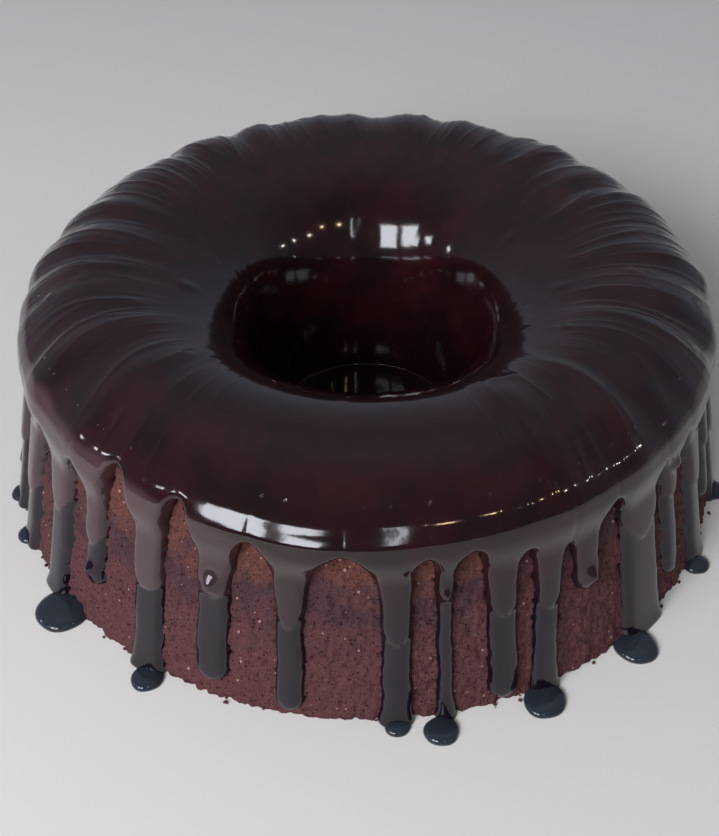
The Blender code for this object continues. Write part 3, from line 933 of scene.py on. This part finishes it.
def inside_box(points: np.ndarray) -> np.ndarray:
    """The same x, y, z rows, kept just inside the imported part's box."""
    margin = 0.02 * MM
    low = np.array((CAD_LOW[0] + margin, CAD_LOW[1] + margin, 0.0))
    return np.clip(points, low, np.array(CAD_HIGH) - margin)


def turns(count: int) -> np.ndarray:
    """Even angles round the axis."""
    return np.arange(count) * 2.0 * math.pi / count


def new_piece(name: str, mesh: bpy.types.Mesh, material: bpy.types.Material,
              slot: Slot, *nodes: str) -> bpy.types.Object:
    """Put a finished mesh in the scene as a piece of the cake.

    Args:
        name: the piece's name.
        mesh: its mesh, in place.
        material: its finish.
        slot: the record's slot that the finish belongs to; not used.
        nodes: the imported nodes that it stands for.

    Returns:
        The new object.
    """
    mesh.materials.clear()
    mesh.materials.append(material)
    piece = bpy.data.objects.new(name, mesh)
    bpy.context.scene.collection.objects.link(piece)
    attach(piece, "root")
    if nodes:
        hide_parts(*nodes)
    faces = sum(len(polygon.vertices) - 2 for polygon in mesh.polygons)
    LOG.info("%s: %d triangles", name, faces)
    return piece


def hill(angle: np.ndarray, middle: float, width: float) -> np.ndarray:
    """A round hill of height 1 about a bearing. Both are in degrees."""
    off = np.remainder(np.degrees(angle) - middle + 180.0, 360.0) - 180.0
    return np.exp(-(off / width) ** 2)


@dataclass
class Glaze:
    """The poured glaze: coat, well, drips and pools."""

    form: RingForm
    relief: Relief
    skin: SideSkin
    pools: list[Pool]
    back: float = 3.4 * MM           # how deep its unseen underside lies in the crumb
    well_pool: float = 4.0 * MM
    well_sides: float = 3.1 * MM
    well_corner: float = 0.4 * MM
    columns: int = 1120
    row: float = 0.7 * MM
    seam: float = 72.8 * MM          # where the top's piece and the side's meet
    bare_from: float = -1.3 * MM
    sag: tuple = ((62.0, 0.0), (64.2, 0.0), (65.4, 0.36), (67.2, 0.36), (69.0, 0.27),
                  (71.0, 0.20), (73.0, 0.15), (75.0, 0.10), (78.0, 0.03), (82.0, 0.0))     # height in mm, gain per mm of descent
    heap: float = 1.2 * MM           # glaze gathered on the shoulder at the back right
    rings: list[tuple[float, float, int]] = field(default_factory=lambda: [
        (84.0, 0.9, 1120), (70.0, 1.2, 1120), (50.0, 1.3, 560), (0.0, 1.7, 280)])

    def side_direction(self, height: np.ndarray, out_radius: np.ndarray,
                       out_height: np.ndarray) -> tuple[np.ndarray, np.ndarray]:
        """Direction that glaze stands off in: level at the foot, square to the wall above."""
        level = smooth_step(0.0, 20.0 * MM, height)
        out_height = out_height * level
        out_radius = out_radius * level + (1.0 - level) / math.cos(self.form.wall_lean)
        return out_radius, out_height

    def surface(self, angle: np.ndarray, along: float) -> tuple[np.ndarray, np.ndarray]:
        """A ring of the outer surface.

        Args:
            angle: the ring's angles.
            along: distance of the ring from the foot, over the section.

        Returns:
            The ring's points, and the thickness at each.
        """
        straight = along * math.cos(self.form.wall_lean)
        radius, height, out_radius, out_height, coat = self.form.point(along)
        if straight < self.seam + 2.0 * MM:
            thick = self.skin.sample(angle, np.full_like(angle, straight))
        else:
            thick = np.full_like(angle, coat)
        reach_out, reach_up = self.side_direction(
            np.array(straight), np.array(out_radius), np.array(out_height))
        thick = thick + self.hanging(angle, straight, thick)
        thick = thick + self.narrowing(angle) * (
            1.7 * smooth_step(73.0 * MM, 46.0 * MM, radius)
            - 0.7 * smooth_step(52.0 * MM, 41.0 * MM, radius))
        lift = self.relief.folds(angle, np.full_like(angle, radius), np.full_like(angle, height))
        if height > 50.0 * MM:
            level = np.full_like(angle, height)
            wide = np.full_like(angle, radius)
            lift = lift + self.relief.crinkles(angle, wide, level)
            lift = lift + self.relief.bumps(angle, wide, level)
            lift = lift + self.relief.ripples(angle, wide)
        off = thick + lift
        points = ring_points(angle, radius + reach_out * off, height + reach_up * off)
        return inside_box(points), thick

    def narrowing(self, angle: np.ndarray) -> np.ndarray:
        """How much thicker the glaze is on the well's left and right."""
        return self.well_sides * np.abs(np.sin(angle)) ** 2.8

    def hanging(self, angle: np.ndarray, straight: float, thick: np.ndarray) -> np.ndarray:
        """What the coat gains where it sags over the shoulder.

        Args:
            angle: in radians about the axis.
            straight: height as on the straight side.
            thick: the even coat's thickness.

        Returns:
            The extra thickness in metres.
        """
        level = straight / MM
        below = np.linspace(min(level, 82.0), 82.0, 60)
        slope = np.interp(below, [row[0] for row in self.sag], [row[1] for row in self.sag])
        descent = float(np.sum(0.5 * (slope[1:] + slope[:-1]) * np.diff(below)))
        share = descent * float(smooth_step(49.0, 61.4, level))
        gain = 1.0 + 0.25 * hill(angle, 0.0, 50.0) + 0.5 * hill(angle, -6.0, 12.0)
        gain = gain * share * MM * smooth_step(0.3 * MM, 2.2 * MM, thick)
        heaped = self.heap * float(smooth_step(62.0, 70.0, level) * smooth_step(91.0, 76.0, level))
        return gain + heaped * hill(angle, 125.0, 55.0)

    def lobe_reflection_paint(self, angle: np.ndarray, height: float) -> np.ndarray:
        """Share of the grey painted on the thick lobes as the bright floor's reflection, up to the
        edge of the dark coat over them; painted stronger on the left, where the light falls, and
        weaker at the front.
        """
        edge = (66.8 + 1.6 * hill(angle, -60.0, 30.0) - 8.0 * hill(angle, 3.0, 26.0)
                + 0.5 * np.sin(17 * angle + 1.0) + 0.3 * np.sin(41 * angle)) * MM
        share = self.skin.sample(angle, np.full_like(angle, height), lobes=True)
        # Painted reflection: stronger on the left, where the light falls, and weaker at the front.
        reflection_by_bearing = (0.24 + 1.05 * hill(angle, -50.0, 32.0) + 0.12 * hill(angle, 60.0, 30.0)
                 - 0.26 * hill(angle, 4.0, 22.0))
        return reflection_by_bearing * share * (1.0 - smooth_step(edge - 1.6 * MM, edge + 1.6 * MM, height))

    def back_ring(self, angle: np.ndarray, along: float) -> np.ndarray:
        """A ring of the underside, inside the crumb."""
        radius, height, out_radius, out_height, _ = self.form.point(along)
        if height < 6.0 * MM:
            out_height = 0.0
        return ring_points(angle, radius - out_radius * self.back,
                           max(height - out_height * self.back, 0.0))

    def build_runs(self, material: bpy.types.Material) -> bpy.types.Object:
        """The glaze of the side: its drips and the band that they hang from."""
        shell = Shell()
        fine = turns(self.columns)
        rough = turns(self.columns // 4)
        lean = math.cos(self.form.wall_lean)
        heights = np.arange(0.0, self.seam + 0.5 * self.row, self.row)
        previous, thick_below = None, None
        first = None
        for height in heights:
            points, thick = self.surface(fine, height / lean)
            if height == 0.0:
                points[:, 2] = 0.0
            ring = shell.ring(points, self.lobe_reflection_paint(fine, height))
            if previous is None:
                first = ring
            else:
                deep = np.maximum(thick, thick_below)
                marks = np.maximum(deep, np.roll(deep, -1)) < self.bare_from
                shell.bridge(previous, ring, marks)
            previous, thick_below = ring, thick
        inner = [shell.ring(self.back_ring(rough, along))
                 for along in np.linspace(0.0, self.seam / lean, 12)]
        shell.bridge(inner[0], first)
        for lower, upper in zip(inner, inner[1:]):
            shell.bridge(upper, lower)
        shell.bridge(previous, inner[-1])
        mesh = shell.mesh("glaze_runs")
        self.match_seam(mesh)
        return new_piece("glaze_runs", mesh, material, Slot.GLAZE, "glaze")

    def build_coat(self, material: bpy.types.Material) -> bpy.types.Object:
        """The glaze of the top, down the well and across its bottom."""
        shell = Shell()
        lean = math.cos(self.form.wall_lean)
        start = self.seam / lean
        table = self.form.table
        funnel_end = float(table[-2, 0])
        fine = turns(self.columns)
        first = shell.ring(self.surface(fine, start)[0])
        previous = first
        along = start
        while True:
            radius = self.form.point(along)[0] / MM
            _, step, count = next(entry for entry in self.rings
                                  if radius > entry[0] or along < start + 25.0 * MM)
            along += step * MM
            if along > funnel_end + 15.0 * MM:
                break
            ring = shell.ring(self.surface(turns(count), along)[0])
            shell.bridge(previous, ring)
            previous = ring
        well = self.form.crown_radius - self.form.funnel_reach - self.form.coat
        count = len(previous)
        wall = well - self.narrowing(turns(count))
        for step in range(7):
            turn = 0.5 * math.pi * step / 6
            ring = shell.ring(ring_points(
                turns(count), wall - self.well_corner * (1.0 - math.cos(turn)),
                self.well_pool + self.well_corner * (1.0 - math.sin(turn))))
            shell.bridge(previous, ring)
            previous = ring
        for reach, count in ((28.0, 280), (22.0, 140), (16.0, 140), (10.0, 70), (5.0, 70)):
            ring = shell.ring(ring_points(turns(count), reach * MM, self.well_pool))
            shell.bridge(previous, ring)
            previous = ring
        shell.cap(previous, (0.0, 0.0, self.well_pool))
        rough = turns(self.columns // 4)
        alongs = np.linspace(start, float(table[-1, 0]), 40)
        inner = [shell.ring(self.back_ring(rough, value)) for value in alongs]
        shell.bridge(inner[0], first)
        for lower, upper in zip(inner, inner[1:]):
            shell.bridge(upper, lower)
        shell.cap(inner[-1], (0.0, 0.0, 0.0))
        mesh = shell.mesh("glaze_coat")
        self.match_seam(mesh)
        return new_piece("glaze_coat", mesh, material, Slot.GLAZE, "glaze")

    def match_seam(self, mesh: bpy.types.Mesh) -> None:
        """Give both pieces the same normals where they meet, so that no line shows."""
        fine = turns(self.columns)
        start = self.seam / math.cos(self.form.wall_lean)
        below = self.surface(fine, start - self.row)[0]
        here = self.surface(fine, start)[0]
        above = self.surface(fine, start + self.row)[0]
        normal = np.cross(np.roll(here, -1, 0) - np.roll(here, 1, 0), above - below)
        normal /= np.linalg.norm(normal, axis=1)[:, None]
        known = {tuple(np.round(point, 7)): value for point, value in zip(here, normal)}
        wanted = [known.get(tuple(round(c, 7) for c in vertex.co), (0.0, 0.0, 0.0))
                  for vertex in mesh.vertices]
        mesh.normals_split_custom_set_from_vertices(wanted)

    def build_pools(self, material: bpy.types.Material) -> bpy.types.Object:
        """The drops of glaze on the floor at the drips' feet."""
        shell = Shell()
        chance = random.Random(29)
        angle = turns(56)
        for pool in self.pools:
            turn = math.radians(pool.angle)
            centre = np.array((pool.middle * math.sin(turn), -pool.middle * math.cos(turn))) * MM
            outline = np.ones_like(angle)
            for wave in (2, 3, 5):
                outline += 0.035 / wave * 2 * np.cos(wave * angle + chance.uniform(0, 6.28))
            rings = []
            steps = 11
            for step in range(steps):
                bend = 0.5 * math.pi * step / steps
                reach = math.cos(bend) ** 0.75
                rise = math.sin(bend) ** 0.85
                points = np.zeros((len(angle), 3))
                points[:, 0] = centre[0] + pool.radius * MM * reach * outline * np.sin(angle)
                points[:, 1] = centre[1] - pool.radius * MM * reach * outline * np.cos(angle)
                points[:, 2] = 0.8 * pool.height * MM * rise
                rings.append(shell.ring(inside_box(points)))
            for lower, upper in zip(rings, rings[1:]):
                shell.bridge(lower, upper)
            shell.cap(rings[-1], (centre[0], centre[1], 0.8 * pool.height * MM))
            shell.cap(rings[0], (centre[0], centre[1], 0.0))
        mesh = shell.mesh("glaze_pools")
        return new_piece("glaze_pools", mesh, material, Slot.GLAZE)

    def build(self, poured: bpy.types.Material, pooled: bpy.types.Material) -> None:
        """All of the glaze."""
        self.build_runs(poured)
        self.build_coat(poured)
        self.build_pools(pooled)


@dataclass
class Crumb:
    """The baked ring, whose bare side shows pits, lumps and a frayed foot."""

    form: RingForm
    relief: Relief
    skin: SideSkin
    columns: int = 1280
    row: float = 0.6 * MM
    top: float = 70.2 * MM           # fine rows end here, under the glaze
    covered_from: float = 1.1 * MM   # glaze thicker than this hides the crumb
    ribs: int = 40                   # columns kept under the glaze, between opened faces
    pit_seed: int = 8
    pits: int = 2600

    def rough(self, angle: np.ndarray, heights: np.ndarray) -> np.ndarray:
        """How far the crumb's surface stands off its turned form.

        Args:
            angle: columns, in radians.
            heights: rows, in metres.

        Returns:
            A grid of distances in metres, one row for each height.
        """
        chance = random.Random(self.pit_seed)
        round_ = angle[None, :]
        up = heights[:, None]
        lift = np.zeros((len(heights), len(angle)))
        radius = self.form.scale_radius
        for length, size, waves in ((9.0, 0.22, 14), (4.0, 0.17, 18), (2.0, 0.15, 26)):
            layer = np.zeros_like(lift)
            for _ in range(waves):
                bearing = chance.uniform(0.0, math.pi)
                pace = 2.0 * math.pi / (length * MM * chance.uniform(0.75, 1.35))
                count = round(pace * radius * math.cos(bearing))
                layer += np.sin(count * round_ + pace * math.sin(bearing) * up
                                + chance.uniform(0.0, 6.28))
            lift += size * MM * layer / math.sqrt(0.5 * waves)
        cell = 2.0 * math.pi / len(angle)
        for _ in range(self.pits):
            column = chance.randrange(len(angle))
            middle = chance.uniform(0.0, 66.0) * MM
            size = chance.uniform(0.5, 1.25) * MM
            deep = chance.uniform(0.5, 0.9) * size
            span = int(2.0 * size / (cell * radius)) + 1
            columns = np.arange(column - span, column + span + 1)
            near = np.abs(heights - middle) < 2.0 * size
            off = (((columns - column) * cell * radius)[None, :] ** 2
                   + (heights[near, None] - middle) ** 2)
            rows = np.nonzero(near)[0]
            lift[np.ix_(rows, columns % len(angle))] -= deep * np.exp(-off / (0.5 * size * size))
        fray = np.clip(1.0 - heights / (2.2 * MM), 0.0, 1.0)[:, None]
        lift += fray * 0.5 * MM * np.sin(97 * round_ + 3 * np.sin(31 * round_)) * np.sin(41 * round_)
        return np.clip(lift, -1.6 * MM, 0.5 * MM)

    def build(self, material: bpy.types.Material) -> tuple[bpy.types.Object, bpy.types.Mesh]:
        """The baked ring, and a mesh of its bare side alone.

        Args:
            material: the crumb's finish.

        Returns:
            The ring's piece, and the mesh that grains are strewn on.
        """
        shell = Shell()
        lean = math.cos(self.form.wall_lean)
        fine = turns(self.columns)
        heights = np.arange(0.0, self.top + 0.5 * self.row, self.row)
        lift = self.rough(fine, heights)
        lift[-1] = 0.0
        cover = np.array([self.skin.sample(fine, np.full_like(fine, h)) for h in heights])
        bare_faces: list[np.ndarray] = []
        rings = []
        for index, height in enumerate(heights):
            radius, level, out_radius, out_height, _ = self.form.point(height / lean)
            flat = smooth_step(0.0, 10.0 * MM, height)
            off = lift[index] + self.relief.folds(
                fine, np.full_like(fine, radius), np.full_like(fine, level))
            points = ring_points(fine, radius + out_radius * off, level + out_height * flat * off)
            rings.append(shell.ring(points))
        for index in range(len(rings) - 1):
            thin = np.minimum(cover[index], cover[index + 1])
            thin = np.minimum(thin, np.roll(thin, -1))
            thin[::self.columns // self.ribs] = 0.0
            shell.bridge(rings[index], rings[index + 1], thin > self.covered_from)
            deep = np.maximum(cover[index], cover[index + 1])
            deep = np.maximum(deep, np.roll(deep, -1))
            lower, upper = rings[index], rings[index + 1]
            quads = np.column_stack((lower, np.roll(lower, -1), np.roll(upper, -1), upper))
            bare_faces.append(quads[deep < 0.0])
        rough = turns(160)
        previous = rings[-1]
        for along in np.linspace(self.top / lean + 3.0 * MM, float(self.form.table[-1, 0]), 36):
            radius, level, out_radius, out_height, _ = self.form.point(along)
            off = self.relief.folds(rough, np.full_like(rough, radius), np.full_like(rough, level))
            ring = shell.ring(ring_points(rough, radius + out_radius * off,
                                          level + out_height * off))
            shell.bridge(previous, ring)
            previous = ring
        shell.bridge(previous, rings[0])
        points = np.vstack(shell.points)
        bare = bpy.data.meshes.new("bare_side")
        bare.from_pydata(points.tolist(), [], np.vstack(bare_faces).tolist())
        piece = new_piece("cake_crumb", shell.mesh("cake_crumb"), material, Slot.CRUMB, "cake")
        return piece, bare


@dataclass
class Grains:
    """Crumbs strewn over a surface by Geometry Nodes."""

    name: str
    per_square_metre: float
    smallest: float
    largest: float
    seed: int
    corners: int = 1                 # subdivisions of each grain

    def tree(self, material: bpy.types.Material) -> tuple[bpy.types.NodeTree, dict[str, str]]:
        """The node tree, and its inputs' identifiers by name."""
        tree = bpy.data.node_groups.new(self.name, "GeometryNodeTree")
        face = tree.interface
        face.new_socket("Geometry", in_out="INPUT", socket_type="NodeSocketGeometry")
        names = {}
        for label, kind in (("Grains per square metre", "NodeSocketFloat"),
                            ("Smallest grain", "NodeSocketFloat"),
                            ("Largest grain", "NodeSocketFloat"),
                            ("Seed", "NodeSocketInt")):
            names[label] = face.new_socket(label, in_out="INPUT", socket_type=kind).identifier
        face.new_socket("Geometry", in_out="OUTPUT", socket_type="NodeSocketGeometry")
        given = add_node(tree, "NodeGroupInput").outputs
        points = add_node(tree, "GeometryNodeDistributePointsOnFaces", {
            "Mesh": given["Geometry"], "Density": given["Grains per square metre"],
            "Seed": given["Seed"]})
        grain = add_node(tree, "GeometryNodeMeshIcoSphere", {
            "Radius": 1.0, "Subdivisions": self.corners})
        turn = add_node(tree, "FunctionNodeRandomValue", {
            "Min": (0.0, 0.0, 0.0), "Max": (6.28, 6.28, 6.28), "Seed": given["Seed"]},
            data_type="FLOAT_VECTOR")
        size = add_node(tree, "FunctionNodeRandomValue", {
            2: given["Smallest grain"], 3: given["Largest grain"], "Seed": given["Seed"]},
            data_type="FLOAT")
        squeeze = add_node(tree, "FunctionNodeRandomValue", {
            "Min": (0.55, 0.55, 0.45), "Max": (1.0, 1.0, 0.8), "Seed": given["Seed"]},
            data_type="FLOAT_VECTOR")
        scale = add_node(tree, "ShaderNodeVectorMath", {
            0: squeeze.outputs[0], "Scale": size.outputs[1]}, operation="SCALE")
        strewn = add_node(tree, "GeometryNodeInstanceOnPoints", {
            "Points": points.outputs["Points"], "Instance": grain.outputs["Mesh"],
            "Rotation": turn.outputs[0], "Scale": scale.outputs["Vector"]})
        real = add_node(tree, "GeometryNodeRealizeInstances", {
            "Geometry": strewn.outputs["Instances"]})
        place = add_node(tree, "GeometryNodeInputPosition")
        noise = add_node(tree, "ShaderNodeTexNoise", {
            "Vector": place.outputs[0], "Scale": 0.9 / self.largest, "Detail": 1.0})
        centred = add_node(tree, "ShaderNodeVectorMath", {
            0: noise.outputs["Color"], 1: (0.5, 0.5, 0.5)}, operation="SUBTRACT")
        shift = add_node(tree, "ShaderNodeVectorMath", {
            0: centred.outputs["Vector"], "Scale": 0.9 * self.largest}, operation="SCALE")
        lumpy = add_node(tree, "GeometryNodeSetPosition", {
            "Geometry": real.outputs["Geometry"], "Offset": shift.outputs["Vector"]})
        finish = add_node(tree, "GeometryNodeSetMaterial", {
            "Geometry": lumpy.outputs["Geometry"], "Material": material})
        add_node(tree, "NodeGroupOutput", {0: finish.outputs["Geometry"]})
        return tree, names

    def build(self, ground: bpy.types.Mesh, material: bpy.types.Material) -> bpy.types.Object:
        """Strew the grains.

        Args:
            ground: the surface that they lie on.
            material: their finish.

        Returns:
            The grains as one piece of plain mesh.
        """
        tree, names = self.tree(material)
        source = bpy.data.objects.new(self.name + "_ground", ground)
        bpy.context.scene.collection.objects.link(source)
        modifier = source.modifiers.new("Strew", "NODES")
        modifier.node_group = tree
        modifier[names["Grains per square metre"]] = self.per_square_metre
        modifier[names["Smallest grain"]] = self.smallest
        modifier[names["Largest grain"]] = self.largest
        modifier[names["Seed"]] = self.seed
        graph = bpy.context.evaluated_depsgraph_get()
        mesh = bpy.data.meshes.new_from_object(source.evaluated_get(graph))
        source.modifiers.remove(modifier)
        bpy.data.objects.remove(source)
        mesh.name = self.name
        places = np.empty(3 * len(mesh.vertices))
        mesh.vertices.foreach_get("co", places)
        mesh.vertices.foreach_set("co", inside_box(places.reshape(-1, 3)).ravel())
        mesh.update()
        return new_piece(self.name, mesh, material, Slot.CRUMB)


# ---------------------------------------------------------------------- stage

@dataclass(frozen=True)
class Panel:
    """A soft studio light, placed by its direction from the cake.

    bearing is in degrees about the axis from the front, climb in degrees above
    the floor, size in degrees as seen from the cake, and glow its brightness
    beside a white board's. A veiled panel lights without being mirrored.
    """

    name: str
    bearing: float
    climb: float
    size: tuple[float, float]
    glow: float
    colour: str = "#FFFFFF"
    distance: float = 2.0
    veiled: bool = False


@dataclass
class Studio:
    """Floor, lights, surroundings and camera."""

    aim: tuple[float, float, float] = (-0.0024, -0.0303, 0.0360)
    eye: tuple[float, float, float] = (-0.0024, -0.33354, 0.30680)
    lens: float = 51.68
    centre: tuple[float, float, float] = (0.0, 0.0, 0.05)
    panels: tuple[Panel, ...] = (
        Panel("fill_front_left", -40.0, 32.0, (32.0, 32.0), 4.6, "#FFFDF8", 0.95, True),
        Panel("window_a", -21.0, 31.0, (13.0, 17.0), 15.0, "#F3F6FF"),
        Panel("window_b", -42.0, 31.0, (14.0, 17.0), 15.0, "#F3F6FF"),
        Panel("window_c", -61.0, 27.0, (3.0, 6.0), 18.0, "#F3F6FF"),
        Panel("window_d", -84.0, 20.0, (3.0, 5.0), 18.0, "#F3F6FF"),
        Panel("door", 12.0, 38.0, (1.0, 16.0), 16.0, "#F3F6FF"),
        Panel("lamp_a", 25.0, 40.0, (1.3, 1.3), 90.0, "#FFE0B0"),
        Panel("lamp_b", 43.0, 38.0, (1.3, 1.3), 90.0, "#FFE0B0"),
        Panel("lamp_c", 56.0, 31.0, (1.2, 1.2), 90.0, "#FFEEDC"),
        Panel("lamp_d", 72.0, 26.0, (1.2, 1.2), 90.0, "#FFF3E8"),
        Panel("lamp_e", 85.0, 22.0, (1.2, 1.2), 90.0, "#FFF3E8"),
    )

    def build(self) -> None:
        """Set everything up round the cake."""
        self.build_floor()
        for panel in self.panels:
            self.build_panel(panel)
        self.build_world()
        self.build_camera()

    def build_floor(self) -> None:
        """A wide plain floor."""
        shape = bmesh.new()
        bmesh.ops.create_grid(shape, x_segments=2, y_segments=2, size=4.0)
        mesh = bpy.data.meshes.new("floor")
        shape.to_mesh(mesh)
        shape.free()
        mesh.materials.append(PaleFloor().build())
        floor = bpy.data.objects.new("floor", mesh)
        bpy.context.scene.collection.objects.link(floor)
        floor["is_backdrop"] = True

    def build_panel(self, panel: Panel) -> None:
        """One area light that faces the cake."""
        light = bpy.data.lights.new(panel.name, "AREA")
        light.shape = "RECTANGLE"
        light.size, light.size_y = (
            2.0 * panel.distance * math.tan(math.radians(0.5 * side)) for side in panel.size)
        light.energy = panel.glow * math.pi * light.size * light.size_y
        light.color = linear(panel.colour)[:3]
        lamp = bpy.data.objects.new(panel.name, light)
        bearing, climb = math.radians(panel.bearing), math.radians(panel.climb)
        away = Vector((math.sin(bearing) * math.cos(climb),
                       -math.cos(bearing) * math.cos(climb), math.sin(climb)))
        lamp.location = Vector(self.centre) + panel.distance * away
        lamp.rotation_euler = away.to_track_quat("Z", "Y").to_euler()
        lamp.visible_glossy = not panel.veiled
        bpy.context.scene.collection.objects.link(lamp)

    def build_world(self) -> None:
        """Even grey surroundings, dim towards the front."""
        world = bpy.data.worlds.new("studio")
        world.use_nodes = True
        tree = world.node_tree
        ground = tree.nodes["Background"]
        place = add_node(tree, "ShaderNodeTexCoord").outputs["Generated"]
        way = add_node(tree, "ShaderNodeSeparateXYZ", {"Vector": place}).outputs
        sky = ramp_stops(add_node(tree, "ShaderNodeValToRGB", {"Fac": way["Z"]}), [
            (0.0, linear("#8A8D9B")), (0.35, linear("#8B8B99")), (0.7, linear("#86858F")),
            (1.0, linear("#9C999F"))])
        front = add_node(tree, "ShaderNodeMapRange", {
            "Value": way["Y"], "From Min": -0.5, "From Max": 0.25, "To Min": 0.38, "To Max": 1.0})
        tree.links.new(sky.outputs["Color"], ground.inputs["Color"])
        tree.links.new(front.outputs["Result"], ground.inputs["Strength"])
        bpy.context.scene.world = world

    def build_camera(self) -> None:
        """A camera above the front edge, looking down at the ring."""
        camera = bpy.data.cameras.new("camera")
        camera.lens = self.lens
        camera.sensor_width = 36.0
        camera.sensor_fit = "AUTO"
        camera.clip_start = 0.01
        camera.dof.use_dof = False
        eye = bpy.data.objects.new("camera", camera)
        eye.location = self.eye
        away = Vector(self.eye) - Vector(self.aim)
        eye.rotation_euler = away.to_track_quat("Z", "Y").to_euler()
        bpy.context.scene.collection.objects.link(eye)
        bpy.context.scene.camera = eye


def foot_ground() -> bpy.types.Mesh:
    """A narrow flat ring round the foot, for loose crumbs."""
    mesh = bpy.data.meshes.new("foot_ground")
    angle = turns(180)
    inner = ring_points(angle, 125.3 * MM, 0.25 * MM)
    outer = ring_points(angle, 127.6 * MM, 0.25 * MM)
    points = np.vstack((inner, outer))
    count = len(angle)
    faces = [(i, (i + 1) % count, count + (i + 1) % count, count + i) for i in range(count)]
    mesh.from_pydata(points.tolist(), [], faces)
    return mesh


def main() -> None:
    """Build every piece of the cake, then the studio round it."""
    logging.basicConfig(level=logging.INFO, format="%(name)s %(message)s")
    bpy.context.scene.view_settings.view_transform = "Standard"
    form = RingForm()
    relief = Relief(form)
    drips, pools = Runs().all(form)
    skin = SideSkin(form, drips)
    # The pools' blue-grey is painted: the reflection of the cool surroundings on their domes.
    pooled = ChocolateGlaze("chocolate_glaze_pooled", deep="#232A34", warm="#29303A",
                            low="#232A34")
    Glaze(form, relief, skin, pools).build(ChocolateGlaze().build(), pooled.build())
    sponge = ChocolateCrumb().build()
    _, bare = Crumb(form, relief, skin).build(sponge)
    Grains("crumb_grains", 120000.0, 0.25 * MM, 0.62 * MM, 3).build(bare, sponge)
    Grains("foot_crumbs", 60000.0, 0.35 * MM, 0.95 * MM, 11, 2).build(foot_ground(), sponge)
    Studio().build()


if __name__ == "__main__":
    main()
